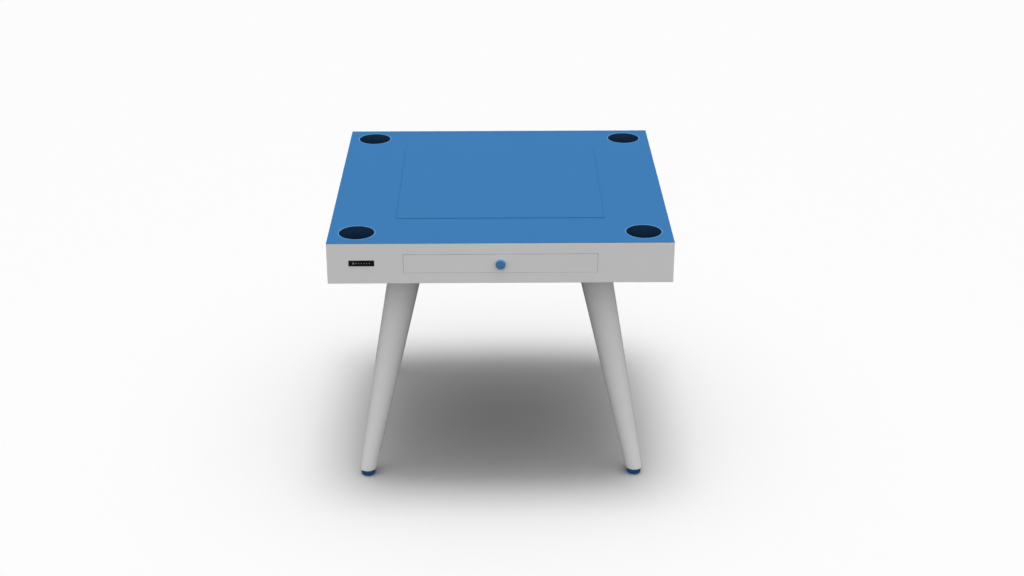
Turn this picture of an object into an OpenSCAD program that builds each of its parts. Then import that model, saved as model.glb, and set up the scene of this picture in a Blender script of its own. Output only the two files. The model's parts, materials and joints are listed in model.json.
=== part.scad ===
// A square convertible dice-game table: a white case on four splayed legs, with a blue top,
// a lift-out lid over a felt dice well, four cup holders and one drawer on ball slides.
// Millimetres, +Z up, the drawer faces -Y. The origin is on the floor, at the middle of the
// space that the whole table takes up, its knob included.

/* [Case] */
// Width of the case, left to right
case_w = 914.4; // [900:0.1:960]
// Depth of the case, front to back
case_d = 914.4; // [900:0.1:960]
// Height of the blue top above the floor
top_z = 762; // [740:1:800]
// Height of the aprons, with the blue sheet that covers them
apron_h = 114.3; // [114:0.1:120]
// Thickness of the apron boards
apron_t = 19; // [18:0.5:22]
// Thickness of the deck boards and of the bottom panel
board_t = 18; // [16:0.5:18]
// Thickness of the blue sheet on the deck and on the lid
sheet_t = 1; // [0.8:0.1:1.2]

/* [Lid and dice well] */
// Width of the square lid
lid_w = 564; // [550:1:568]
// Gap between the lid and the deck, all round
lid_gap = 0.5; // [0.4:0.1:1]
// Thickness of the lid, with its sheet
lid_t = 12; // [11:0.5:13]
// How far the lid stands above the deck
lid_proud = 2.2; // [1:0.1:3]
// Depth of the well, from the lid's underside to the felt
well_depth = 24.7; // [22:0.1:25]
// Thickness of the well's walls
well_wall_t = 12; // [9:0.5:15]
// Thickness of the well's floor
well_floor_t = 6; // [5:0.5:6]
// Thickness of the felt
felt_t = 2; // [1:0.1:2]
// Thickness of the rubber cushions that the dice bounce off
cushion_t = 6; // [4:0.5:8]
// Height of the rubber cushions
cushion_h = 21; // [16:0.5:22]

/* [Cup holders] */
// Radius inside a cup holder
cup_r = 47.3; // [42:0.1:48]
// Depth inside a cup holder
cup_depth = 64.8; // [50:0.1:66]
// Wall thickness of a cup holder
cup_wall = 1.6; // [1.2:0.1:2]
// Thickness of the bottom of a cup holder
cup_bottom = 2; // [1.5:0.1:3]
// Width of the lip that rests on the top
cup_lip = 3.2; // [2.4:0.1:4]
// Thickness of that lip
cup_lip_t = 0.8; // [0.6:0.1:1.2]
// Distance from each case edge to the centre of a cup holder
cup_inset = 75.2; // [72:0.1:80]

/* [Drawer] */
// Width of the drawer front
drawer_w = 512; // [480:1:520]
// Height of the drawer front
drawer_h = 51.7; // [51:0.1:52]
// Distance from the top down to the drawer front
drawer_drop = 32.2; // [31:0.1:33]
// Gap round the drawer front
drawer_gap = 0.7; // [0.6:0.1:1.5]
// How far the drawer front stands out of the apron
drawer_proud = 0; // [0:0.1:3]
// Length of the drawer box, front to back
box_l = 380; // [370:1:420]
// Height of the drawer box
box_h = 34; // [32:0.5:35]
// Thickness of the drawer box's boards
box_t = 12; // [10:0.5:13]
// Thickness of the drawer's bottom board
box_bottom_t = 6; // [4:0.5:6]
// Depth of the groove that holds the bottom board
groove = 5; // [3:0.5:6]
// Largest diameter of the knob
knob_d = 26.5; // [22:0.5:32]
// How far the knob stands out of the drawer front
knob_out = 12; // [12:0.5:26]

/* [Drawer slides] */
// Width of a closed slide, from the drawer box to the divider
slide_t = 10; // [10:0.1:11]
// Height of a slide
slide_h = 27; // [27:0.1:28]
// Length of each slide member
slide_l = 350; // [330:1:360]
// Thickness of the slides' sheet steel
slide_steel = 1.2; // [1:0.1:1.2]

/* [Legs] */
// Leg centre at the underside of the apron, left or right of the middle
leg_top_x = 250.2; // [240:0.1:260]
// Leg centre at the underside of the apron, in front of or behind the middle
leg_top_y = 205.5; // [200:0.1:215]
// How far a leg runs outwards, sideways and also front to back, down to its foot
leg_splay = 130.4; // [120:0.1:135]
// Radius of a leg at the underside of the apron
leg_top_r = 48.3; // [46:0.1:50]
// Radius of a leg at its foot
leg_end_r = 23.9; // [23:0.1:26]
// Width of the square steel plate on top of a leg
plate_w = 140; // [130:1:150]
// Thickness of that plate
plate_t = 5; // [5:0.5:5.5]

/* [Feet] */
// Height of a levelling foot, up to the leg
foot_h = 18; // [16:0.5:20]
// Radius of a foot at its widest
foot_r = 21; // [20:0.5:22]
// Gap between the foot and the leg
foot_gap = 0.3; // [0.3:0.1:1]
// Radius of the foot's threaded stem
stem_r = 4; // [4:0.5:5]
// Length of the stem
stem_l = 44; // [40:1:48]

/* [Nameplate] */
// Width of the nameplate
plate_name_w = 67.6; // [60:0.1:70]
// Height of the nameplate
plate_name_h = 16.2; // [13:0.1:17]
// Centre of the nameplate, left of the middle
plate_name_x = 366.3; // [350:0.1:380]
// Centre of the nameplate, below the top
plate_name_drop = 56; // [50:0.1:65]

/* [Hidden] */
// The knob makes the table deeper at the front, so the case sits this far behind the origin
case_y = (drawer_proud + knob_out) / 2;

// Levels, from the top down
deck_top = top_z - sheet_t;
deck_z = deck_top - board_t;
apron_z = top_z - apron_h;
lid_top = top_z + lid_proud;
lid_z = lid_top - lid_t;
felt_z = lid_z - well_depth - felt_t;
well_floor_z = felt_z - well_floor_t;
bottom_recess = 6;
bottom_z = apron_z + bottom_recess;
bottom_top = bottom_z + board_t;
plate_z = bottom_z - plate_t;

// Half sizes, measured from the middle of the case
in_x = case_w / 2 - apron_t;
in_y = case_d / 2 - apron_t;
hole_half = lid_w / 2 + lid_gap;
well_half = hole_half - well_wall_t;
cup_x = case_w / 2 - cup_inset;
cup_y = case_d / 2 - cup_inset;
cup_hole_r = cup_r + cup_wall + 0.3;
opening_half = drawer_w / 2 + drawer_gap;
divider_t = 16;
block_w = 36;

// Drawer, measured from the middle of the case
drawer_mid_z = top_z - drawer_drop - drawer_h / 2;
face_y = -case_d / 2 - drawer_proud;
box_half = opening_half - slide_t;
box_front_y = -in_y;
box_back_y = box_front_y + box_l;
slide_mid_z = well_floor_z - 21.5;
box_z = slide_mid_z - box_h / 2;
box_bottom_z = box_z + 3;
liner_t = 1.5;
slide_y = -in_y + 2;
slide_lip = 1.5;
race = 1.7;
middle_back = slide_t - slide_steel - 2;
middle_half = slide_h / 2 - slide_steel - race;
inner_half = middle_half - slide_steel - race - 0.2;
inner_lip = middle_back - slide_steel - 1.2;
case_screw_inset = 40;
drawer_screw_inset = 60;

// Fasteners: [shaft radius, head radius, head height, length]
M8_FLAT = [4, 7.6, 4.2, 40];
WOOD_FLAT = [2.5, 5, 3, 20];
M4_PAN = [2, 4, 2.4, 38];
WOOD_PAN = [2, 4, 2.4, 24];
SLIDE_SCREW = [1.75, 3.2, 1.1, 12];
DRAWER_SLIDE_SCREW = [1.75, 3.2, 1.1, 10];
front_screw_x = 180;
// Length of the knob's screw that is inside the knob
knob_screw_in = M4_PAN[3] - box_t - (box_front_y - face_y);
insert_r = 6.5;
insert_l = 25;
bolt_circle = 24;
plate_hole = plate_w / 2 - 15;
foot_insert_r = 7;
foot_insert_l = 20;
stem_clear = 0.05;
leg_end_z = foot_h + foot_gap;
leg_run = apron_z - foot_h;
leg_tilt = atan(sqrt(2) * leg_splay / leg_run);
leg_axis = leg_run / cos(leg_tilt);
foot_x = leg_top_x + leg_splay;
foot_y = leg_top_y + leg_splay;
// Where a leg's centre meets its steel plate
leg_head_x = foot_x - leg_splay * (plate_z - foot_h) / leg_run;
leg_head_y = foot_y - leg_splay * (plate_z - foot_h) / leg_run;
stem_in = 10;

// Nameplate and its studs
name_t = 1.2;
stud_count = 7;
stud_pitch = 7;
stud_w = 2.6;
first_stud_w = 5;
stud_t = 0.3;

CORNERS = [[-1, -1], [1, -1], [-1, 1], [1, 1]];
WHITE = "#E4E4E2";
BLUE = "#407DB6";
NAVY = "#16304C";
STEEL = "#B9BDC2";
BIRCH = "#D9C39B";
FELT = "#1F6B4A";
BLACK = "#141416";
$fn = 96;
EPS = 0.01;

// ---- Shared shapes ----

// Moves a shape drawn about the middle of the case to its place over the origin
module on_case() {
    translate([0, case_y, 0]) children();
}

// A block from one corner to the other
module block(low, high) {
    translate(low) cube(high - low);
}

// A bar along X with mitred ends: its outer face is y = 0 and it is t thick towards +Y
module mitred_bar(length, t, z_low, z_high) {
    translate([0, 0, z_low]) linear_extrude(z_high - z_low)
        polygon([[-length / 2, 0], [length / 2, 0], [length / 2 - t, t], [-length / 2 + t, t]]);
}

// One of four bars round a rectangle; turn is 0 at the front, 90 right, 180 back, 270 left
module frame_side(turn, half_x, half_y, t, z_low, z_high) {
    across = turn % 180 == 0;
    rotate([0, 0, turn]) translate([0, across ? -half_y : -half_x, 0])
        mitred_bar(2 * (across ? half_x : half_y), t, z_low, z_high);
}

// A countersunk screw that points down, with its flat head level with z = 0
module flat_screw(size, grow = 0) {
    translate([0, 0, -size[2]]) cylinder(h = size[2], r1 = size[0] + grow, r2 = size[1]);
    translate([0, 0, -size[3]]) cylinder(h = size[3] - size[2] + EPS, r = size[0] + grow);
}

// The same screw with the hexagon socket that drives it
module flat_screw_socket(size) {
    difference() {
        flat_screw(size);
        translate([0, 0, -size[2] * 0.6]) cylinder(h = size[2], r = size[0] * 0.7, $fn = 6);
    }
}

// A pan-head screw that points down, with its head standing on z = 0
module pan_screw(size) {
    difference() {
        union() {
            cylinder(h = size[2], r1 = size[1], r2 = size[1] * 0.8);
            translate([0, 0, -size[3]]) cylinder(h = size[3] + EPS, r = size[0]);
        }
        translate([0, 0, size[2] * 0.4]) cylinder(h = size[2], r = size[0] * 0.7, $fn = 6);
    }
}

// ---- Case ----

module apron(turn) {
    color(WHITE) on_case()
        frame_side(turn, case_w / 2, case_d / 2, apron_t, apron_z, deck_top);
}

module apron_front() {
    difference() {
        apron(0);
        color(WHITE) on_case() block(
            [-opening_half, -case_d, drawer_mid_z - drawer_h / 2 - drawer_gap],
            [opening_half, 0, drawer_mid_z + drawer_h / 2 + drawer_gap]);
    }
}

module apron_back() {
    apron(180);
}

module apron_left() {
    apron(270);
}

module apron_right() {
    apron(90);
}

// The boards across the front and the back carry the cup holders
module deck_across(side) {
    color(BIRCH) on_case() difference() {
        block([-in_x, side < 0 ? -in_y : hole_half, deck_z],
              [in_x, side < 0 ? -hole_half : in_y, deck_top]);
        for (x = [-cup_x, cup_x])
            translate([x, side * cup_y, deck_z - 1]) cylinder(h = board_t + 2, r = cup_hole_r);
    }
}

module deck_along(side) {
    color(BIRCH) on_case() block([side < 0 ? -in_x : hole_half, -hole_half, deck_z],
                                 [side < 0 ? -hole_half : in_x, hole_half, deck_top]);
}

module deck_front() {
    deck_across(-1);
}

module deck_back() {
    deck_across(1);
}

module deck_left() {
    deck_along(-1);
}

module deck_right() {
    deck_along(1);
}

// The blue sheet covers the deck and the apron tops, out to the outer edges
module top_surface() {
    color(BLUE) on_case() difference() {
        block([-case_w / 2, -case_d / 2, deck_top], [case_w / 2, case_d / 2, top_z]);
        block([-hole_half, -hole_half, deck_top - 1], [hole_half, hole_half, top_z + 1]);
        for (c = CORNERS)
            translate([c[0] * cup_x, c[1] * cup_y, deck_top - 1])
                cylinder(h = sheet_t + 2, r = cup_hole_r);
    }
}

module bottom_panel() {
    color(WHITE) difference() {
        on_case() block([-in_x, -in_y, bottom_z], [in_x, in_y, bottom_top]);
        at_plate_screws() flat_screw(WOOD_FLAT);
    }
}

module corner_blocks() {
    color(BIRCH) on_case() for (c = CORNERS)
        translate([c[0] * in_x, c[1] * in_y, bottom_top]) linear_extrude(deck_z - bottom_top)
            polygon([[0, 0], [-c[0] * block_w, 0], [0, -c[1] * block_w]]);
}

// The dividers carry the drawer slides on their inner faces and the well on their top edges
module divider(side) {
    color(BIRCH) difference() {
        on_case() block([side < 0 ? -opening_half - divider_t : opening_half, -in_y, bottom_top],
                        [side < 0 ? -opening_half : opening_half + divider_t, in_y, well_floor_z]);
        at_slide_screws(side, slide_t - slide_steel) translate([0, 0, -SLIDE_SCREW[3]])
            cylinder(h = SLIDE_SCREW[3], r = SLIDE_SCREW[0]);
    }
}

module divider_left() {
    divider(-1);
}

module divider_right() {
    divider(1);
}

// ---- Dice well ----

module well_floor() {
    color(BIRCH) on_case()
        block([-hole_half, -hole_half, well_floor_z], [hole_half, hole_half, felt_z]);
}

module well_walls() {
    color(WHITE) on_case() for (turn = [0 : 90 : 270])
        frame_side(turn, hole_half, hole_half, well_wall_t, felt_z, lid_z);
}

module well_felt() {
    color(FELT) on_case()
        block([-well_half, -well_half, felt_z], [well_half, well_half, felt_z + felt_t]);
}

module well_cushions() {
    color(BLACK) on_case() for (turn = [0 : 90 : 270])
        frame_side(turn, well_half, well_half, cushion_t, felt_z + felt_t,
                   felt_z + felt_t + cushion_h);
}

// ---- Cup holders ----

module cup(corner) {
    color(NAVY) on_case() translate([corner[0] * cup_x, corner[1] * cup_y, 0]) difference() {
        union() {
            translate([0, 0, top_z]) cylinder(h = cup_lip_t, r = cup_r + cup_lip);
            translate([0, 0, top_z + cup_lip_t - cup_depth - cup_bottom])
                cylinder(h = cup_depth + cup_bottom - cup_lip_t + EPS, r = cup_r + cup_wall);
        }
        translate([0, 0, top_z + cup_lip_t - cup_depth]) cylinder(h = cup_depth + 1, r = cup_r);
    }
}

module cup_front_left() {
    cup([-1, -1]);
}

module cup_front_right() {
    cup([1, -1]);
}

module cup_back_left() {
    cup([-1, 1]);
}

module cup_back_right() {
    cup([1, 1]);
}

// ---- Nameplate ----

module at_nameplate() {
    on_case() translate([-plate_name_x, -case_d / 2, top_z - plate_name_drop])
        rotate([90, 0, 0]) children();
}

module nameplate() {
    color(BLACK) at_nameplate() linear_extrude(name_t)
        square([plate_name_w, plate_name_h], center = true);
}

// A plain row of square studs, the first one larger
module nameplate_marks() {
    color(STEEL) at_nameplate() for (i = [0 : stud_count - 1])
        translate([(i - (stud_count - 1) / 2) * stud_pitch, 0, name_t]) linear_extrude(stud_t)
            square(i == 0 ? first_stud_w : stud_w, center = true);
}

// ---- Drawer slides ----

// A channel section seen from its end: its back is at x = back, its two flanges start at x = lip
module channel(half_h, lip, back) {
    low = min(lip, back);
    high = max(lip, back);
    plate_x = back > lip ? back - slide_steel : back;
    translate([plate_x, -half_h]) square([slide_steel, 2 * half_h]);
    for (y = [-half_h, half_h - slide_steel])
        translate([low, y]) square([high - low, slide_steel]);
}

// Runs a section along the drawer, with x = 0 on the side of the drawer box, outwards
module slide_member(side) {
    color(STEEL) on_case() translate([side * box_half, slide_y + slide_l, slide_mid_z])
        mirror([side < 0 ? 1 : 0, 0, 0]) rotate([90, 0, 0]) linear_extrude(slide_l) children();
}

module slide_outer(side) {
    difference() {
        slide_member(side) channel(slide_h / 2, slide_lip, slide_t);
        at_slide_screws(side, slide_t - slide_steel) translate([0, 0, -slide_steel - 1])
            cylinder(h = slide_steel + 2, r = SLIDE_SCREW[0]);
    }
}

module slide_inner(side) {
    difference() {
        slide_member(side) channel(inner_half, inner_lip, 0);
        at_drawer_slide_screws(side) translate([0, 0, -slide_steel - 1])
            cylinder(h = slide_steel + 2, r = SLIDE_SCREW[0]);
    }
}

// Places a screw on the back of a slide, pointing outwards from x = out
module at_slide_screws(side, out) {
    on_case() for (along = [case_screw_inset, slide_l / 2, slide_l - case_screw_inset])
        translate([side * (box_half + out), slide_y + along, slide_mid_z])
            rotate([0, side * -90, 0]) children();
}

// Places a screw in the inner member, pointing into the drawer box
module at_drawer_slide_screws(side) {
    on_case() for (along = [drawer_screw_inset, slide_l - drawer_screw_inset])
        translate([side * (box_half + slide_steel), slide_y + along, slide_mid_z])
            rotate([0, side * 90, 0]) children();
}

module slide_outer_left() {
    slide_outer(-1);
}

module slide_outer_right() {
    slide_outer(1);
}

module slide_middle_left() {
    slide_member(-1) channel(middle_half, slide_lip, middle_back);
}

module slide_middle_right() {
    slide_member(1) channel(middle_half, slide_lip, middle_back);
}

module slide_inner_left() {
    slide_inner(-1);
}

module slide_inner_right() {
    slide_inner(1);
}

module slide_case_screws() {
    color(STEEL) for (side = [-1, 1])
        at_slide_screws(side, slide_t - slide_steel) pan_screw(SLIDE_SCREW);
}

module slide_drawer_screws() {
    color(STEEL) for (side = [-1, 1])
        at_drawer_slide_screws(side) pan_screw(DRAWER_SLIDE_SCREW);
}

// ---- Drawer ----

// Places a screw on the inside of the drawer box's front, pointing forwards
module at_front_screws(places) {
    on_case() for (x = places)
        translate([x, box_front_y + box_t, drawer_mid_z]) rotate([-90, 0, 0]) children();
}

module front_screw_holes() {
    at_front_screws([-front_screw_x, front_screw_x]) translate([0, 0, -WOOD_PAN[3]])
        cylinder(h = WOOD_PAN[3] + 1, r = WOOD_PAN[0]);
    at_front_screws([0]) translate([0, 0, -M4_PAN[3]])
        cylinder(h = M4_PAN[3] + 1, r = M4_PAN[0]);
}

module drawer_front() {
    color(WHITE) difference() {
        on_case() block([-drawer_w / 2, face_y, drawer_mid_z - drawer_h / 2],
                        [drawer_w / 2, box_front_y, drawer_mid_z + drawer_h / 2]);
        front_screw_holes();
    }
}

// The groove round the inside of the box that holds the bottom board
module box_groove() {
    on_case() block([-box_half + box_t - groove, box_front_y + box_t - groove, box_bottom_z],
                    [box_half - box_t + groove, box_back_y - box_t + groove,
                     box_bottom_z + box_bottom_t]);
}

module drawer_box_front() {
    color(BIRCH) difference() {
        on_case() block([-box_half + box_t, box_front_y, box_z],
                        [box_half - box_t, box_front_y + box_t, box_z + box_h]);
        box_groove();
        front_screw_holes();
    }
}

module drawer_side(side) {
    color(BIRCH) difference() {
        on_case() block([side < 0 ? -box_half : box_half - box_t, box_front_y, box_z],
                        [side < 0 ? -box_half + box_t : box_half, box_back_y, box_z + box_h]);
        box_groove();
        at_drawer_slide_screws(side) translate([0, 0, -DRAWER_SLIDE_SCREW[3]])
            cylinder(h = DRAWER_SLIDE_SCREW[3], r = DRAWER_SLIDE_SCREW[0]);
    }
}

module drawer_side_left() {
    drawer_side(-1);
}

module drawer_side_right() {
    drawer_side(1);
}

module drawer_back() {
    color(BIRCH) difference() {
        on_case() block([-box_half + box_t, box_back_y - box_t, box_z],
                        [box_half - box_t, box_back_y, box_z + box_h]);
        box_groove();
    }
}

module drawer_bottom() {
    color(BIRCH) box_groove();
}

module drawer_liner() {
    color(FELT) on_case()
        block([-box_half + box_t, box_front_y + box_t, box_bottom_z + box_bottom_t],
              [box_half - box_t, box_back_y - box_t, box_bottom_z + box_bottom_t + liner_t]);
}

// The knob flares from a narrow neck to a thick disc with a rounded edge and a low crown
module drawer_knob() {
    knob_r = knob_d / 2;
    neck_r = knob_r * 0.55;
    neck_end = knob_out * 0.1;
    rim = knob_out * 0.42;
    edge = 1.6;
    crown = 0.5;
    flare = [for (a = [0 : 15 : 90])
        [knob_r - (knob_r - neck_r) * cos(a), rim - (rim - neck_end) * (1 - sin(a))]];
    shoulder = [for (a = [0 : 15 : 90])
        [knob_r - edge * (1 - cos(a)), knob_out - crown - edge * (1 - sin(a))]];
    color(BLUE) on_case() translate([0, face_y, drawer_mid_z]) rotate([90, 0, 0]) difference() {
        rotate_extrude() polygon(concat([[0, 0], [neck_r, 0]], flare, shoulder, [[0, knob_out]]));
        translate([0, 0, -1]) cylinder(h = knob_screw_in + 1, r = M4_PAN[0]);
    }
}

module knob_screw() {
    color(STEEL) at_front_screws([0]) pan_screw(M4_PAN);
}

module drawer_screws() {
    color(STEEL) at_front_screws([-front_screw_x, front_screw_x]) pan_screw(WOOD_PAN);
}

// ---- Lid ----

module lid_board() {
    color(BIRCH) on_case()
        block([-lid_w / 2, -lid_w / 2, lid_z], [lid_w / 2, lid_w / 2, lid_top - sheet_t]);
}

module lid_surface() {
    color(BLUE) on_case()
        block([-lid_w / 2, -lid_w / 2, lid_top - sheet_t], [lid_w / 2, lid_w / 2, lid_top]);
}

// ---- Legs ----

// Places something over the leg's foot, on the vertical line through it
module at_foot(corner) {
    on_case() translate([corner[0] * foot_x, corner[1] * foot_y, 0]) children();
}

// Turns X to the way that a leg runs outwards, at the middle of its steel plate
module at_leg_top(corner) {
    on_case() translate([corner[0] * leg_head_x, corner[1] * leg_head_y, plate_z])
        rotate([0, 0, atan2(corner[1], corner[0])]) children();
}

// A straight round taper along the leg's sloping axis, longer than the leg at both ends
module leg_taper(corner) {
    extra = 30;
    slope = (leg_top_r - leg_end_r) / leg_axis;
    at_foot(corner) translate([0, 0, foot_h])
        rotate([0, -leg_tilt, atan2(corner[1], corner[0])])
            translate([0, 0, -extra]) cylinder(
                h = leg_axis + 2 * extra,
                r1 = leg_end_r - extra * slope,
                r2 = leg_top_r + extra * slope);
}

module leg(corner) {
    color(WHITE) difference() {
        intersection() {
            leg_taper(corner);
            on_case() block([-case_w, -case_d, leg_end_z], [case_w, case_d, plate_z]);
        }
        at_leg_bolts(corner) {
            translate([0, 0, -insert_l]) cylinder(h = insert_l + 1, r = insert_r);
            translate([0, 0, -M8_FLAT[3]]) cylinder(h = M8_FLAT[3], r = M8_FLAT[0] + 0.3);
        }
        at_foot(corner) {
            translate([0, 0, leg_end_z - 1]) cylinder(h = foot_insert_l + 1, r = foot_insert_r);
            translate([0, 0, leg_end_z]) cylinder(h = stem_l, r = stem_r + 0.5);
        }
    }
}

// Places a bolt at each of a leg's three threaded inserts, level with the top of the leg
module at_leg_bolts(corner) {
    at_leg_top(corner) for (turn = [0, 120, 240])
        rotate([0, 0, turn]) translate([bolt_circle, 0, 0]) children();
}

module leg_front_left() {
    leg([-1, -1]);
}

module leg_front_right() {
    leg([1, -1]);
}

module leg_back_left() {
    leg([-1, 1]);
}

module leg_back_right() {
    leg([1, 1]);
}

// Places something at the middle of each leg's plate, square to the case
module at_plates() {
    on_case() for (c = CORNERS)
        translate([c[0] * leg_head_x, c[1] * leg_head_y, plate_z]) children();
}

// A wood screw in each corner of each plate, pointing up from the plate's underside
module at_plate_screws() {
    at_plates() for (c = CORNERS)
        translate([c[0] * plate_hole, c[1] * plate_hole, 0]) rotate([180, 0, 0]) children();
}

module leg_plates() {
    corner_r = 10;
    half = plate_w / 2 - corner_r;
    color(STEEL) difference() {
        at_plates() linear_extrude(plate_t) {
            square([plate_w, 2 * half], center = true);
            square([2 * half, plate_w], center = true);
            for (c = CORNERS) translate(c * half) circle(corner_r);
        }
        at_plate_screws() flat_screw(WOOD_FLAT);
        for (c = CORNERS) at_leg_bolts(c) translate([0, 0, plate_t]) flat_screw(M8_FLAT, 0.2);
    }
}

module plate_screws() {
    color(STEEL) at_plate_screws() flat_screw_socket(WOOD_FLAT);
}

module leg_bolts() {
    color(STEEL) for (c = CORNERS)
        at_leg_bolts(c) translate([0, 0, plate_t]) flat_screw_socket(M8_FLAT);
}

module leg_inserts() {
    color(STEEL) for (c = CORNERS) at_leg_bolts(c) translate([0, 0, -insert_l]) difference() {
        cylinder(h = insert_l, r = insert_r);
        translate([0, 0, -1]) cylinder(h = insert_l + 2, r = M8_FLAT[0]);
    }
}

// ---- Feet ----

module foot_inserts() {
    color(STEEL) for (c = CORNERS) at_foot(c) translate([0, 0, leg_end_z]) difference() {
        cylinder(h = foot_insert_l, r = foot_insert_r);
        translate([0, 0, -1]) cylinder(h = foot_insert_l + 2, r = stem_r + stem_clear);
    }
}

// The pad narrows towards the floor, with a rounded lower edge and a flat base
module foot_pad(corner) {
    base_r = foot_r - 5;
    edge = 2;
    lower = [for (a = [0 : 15 : 90]) [base_r + edge * sin(a), edge * (1 - cos(a))]];
    color(BLUE) at_foot(corner) difference() {
        rotate_extrude() polygon(concat([[0, 0]], lower, [
            [foot_r, foot_h * 0.72], [foot_r, foot_h - 1], [foot_r - 1, foot_h], [0, foot_h]]));
        translate([0, 0, foot_h - stem_in]) cylinder(h = stem_in + 1, r = stem_r);
    }
}

module foot_stem(corner) {
    color(STEEL) at_foot(corner) translate([0, 0, foot_h - stem_in]) {
        cylinder(h = stem_l - 1, r = stem_r);
        translate([0, 0, stem_l - 1 - EPS]) cylinder(h = 1, r1 = stem_r, r2 = stem_r - 1);
    }
}

module foot_pad_front_left() {
    foot_pad([-1, -1]);
}

module foot_pad_front_right() {
    foot_pad([1, -1]);
}

module foot_pad_back_left() {
    foot_pad([-1, 1]);
}

module foot_pad_back_right() {
    foot_pad([1, 1]);
}

module foot_stem_front_left() {
    foot_stem([-1, -1]);
}

module foot_stem_front_right() {
    foot_stem([1, -1]);
}

module foot_stem_back_left() {
    foot_stem([-1, 1]);
}

module foot_stem_back_right() {
    foot_stem([1, 1]);
}

apron_front();
apron_back();
apron_left();
apron_right();
deck_front();
deck_back();
deck_left();
deck_right();
top_surface();
bottom_panel();
corner_blocks();
divider_left();
divider_right();
well_floor();
well_walls();
well_felt();
well_cushions();
cup_front_left();
cup_front_right();
cup_back_left();
cup_back_right();
nameplate();
nameplate_marks();
slide_outer_left();
slide_outer_right();
slide_case_screws();
slide_middle_left();
slide_middle_right();
slide_inner_left();
slide_inner_right();
slide_drawer_screws();
drawer_front();
drawer_box_front();
drawer_side_left();
drawer_side_right();
drawer_back();
drawer_bottom();
drawer_liner();
drawer_knob();
knob_screw();
drawer_screws();
lid_board();
lid_surface();
leg_front_left();
leg_front_right();
leg_back_left();
leg_back_right();
leg_plates();
plate_screws();
leg_bolts();
leg_inserts();
foot_inserts();
foot_pad_front_left();
foot_pad_front_right();
foot_pad_back_left();
foot_pad_back_right();
foot_stem_front_left();
foot_stem_front_right();
foot_stem_back_left();
foot_stem_back_right();
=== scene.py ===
import json
import math

import bpy
import numpy as np
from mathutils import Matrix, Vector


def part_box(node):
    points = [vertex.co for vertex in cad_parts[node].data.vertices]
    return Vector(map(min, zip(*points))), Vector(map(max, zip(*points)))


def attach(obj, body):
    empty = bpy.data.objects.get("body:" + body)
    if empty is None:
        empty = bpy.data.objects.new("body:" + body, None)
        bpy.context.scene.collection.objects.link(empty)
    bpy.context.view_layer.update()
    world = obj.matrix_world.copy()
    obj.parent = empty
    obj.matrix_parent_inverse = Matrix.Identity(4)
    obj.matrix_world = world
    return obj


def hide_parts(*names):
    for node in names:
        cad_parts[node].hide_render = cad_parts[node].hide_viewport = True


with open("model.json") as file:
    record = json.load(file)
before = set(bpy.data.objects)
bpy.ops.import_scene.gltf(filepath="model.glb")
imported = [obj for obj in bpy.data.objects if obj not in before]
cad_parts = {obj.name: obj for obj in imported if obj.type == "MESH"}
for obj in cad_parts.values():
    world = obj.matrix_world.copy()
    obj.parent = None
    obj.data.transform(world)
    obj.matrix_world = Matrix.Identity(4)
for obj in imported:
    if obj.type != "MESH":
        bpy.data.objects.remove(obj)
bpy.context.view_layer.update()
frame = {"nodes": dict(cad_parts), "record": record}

MM = 0.001
CORNERS = {"front_left": (-1, -1), "front_right": (1, -1), "back_left": (-1, 1), "back_right": (1, 1)}


# ---- Places, all taken from the frame ----

def corner_of(node):
    """Lowest and highest corner of a CAD node, as two numpy arrays."""
    low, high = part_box(node)
    return np.array(low), np.array(high)


def middle_of(node):
    """Middle of a CAD node's box."""
    low, high = corner_of(node)
    return (low + high) / 2


CASE = middle_of("top_surface")
TOP_Z = corner_of("top_surface")[1][2]


# ---- Mesh building ----

def make_piece(name, points, faces, body, mat, replaced, crease=40.0):
    """A mesh object from an array of points and lists of faces, with one material, riding on a CAD
    body in place of the replaced nodes. Edges that turn by more than crease degrees are sharp."""
    mesh = bpy.data.meshes.new(name)
    mesh.from_pydata(points.tolist(), [], faces)
    mesh.shade_smooth()
    mesh.set_sharp_from_angle(angle=math.radians(crease))
    mesh.materials.append(mat)
    piece = bpy.data.objects.new(name, mesh)
    bpy.context.scene.collection.objects.link(piece)
    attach(piece, body)
    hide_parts(*replaced)
    return piece


def ring_faces(rows, around):
    """Quads between rows rings of around points each, with every ring closed on itself."""
    row, col = np.meshgrid(np.arange(rows - 1), np.arange(around), indexing="ij")
    first = row * around + col
    beside = row * around + (col + 1) % around
    quads = np.stack([first, beside, beside + around, first + around], axis=-1)
    return quads.reshape(-1, 4).tolist()


def fan_faces(first, around, pole, outward):
    """Triangles from one ring to a pole vertex."""
    col = np.arange(around)
    ring = first + col
    beside = first + (col + 1) % around
    tips = np.full(around, pole)
    order = [ring, beside, tips] if outward else [beside, ring, tips]
    return np.stack(order, axis=-1).tolist()


def stack_of_rings(rings, start, end):
    """Points and faces of a closed skin: a list of rings, each (n, 3), with a pole at each end."""
    around = len(rings[0])
    points = np.concatenate([*rings, [start], [end]])
    total = around * len(rings)
    faces = ring_faces(len(rings), around)
    faces += fan_faces(0, around, total, outward=False)
    faces += fan_faces(total - around, around, total + 1, outward=True)
    return points, faces


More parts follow.
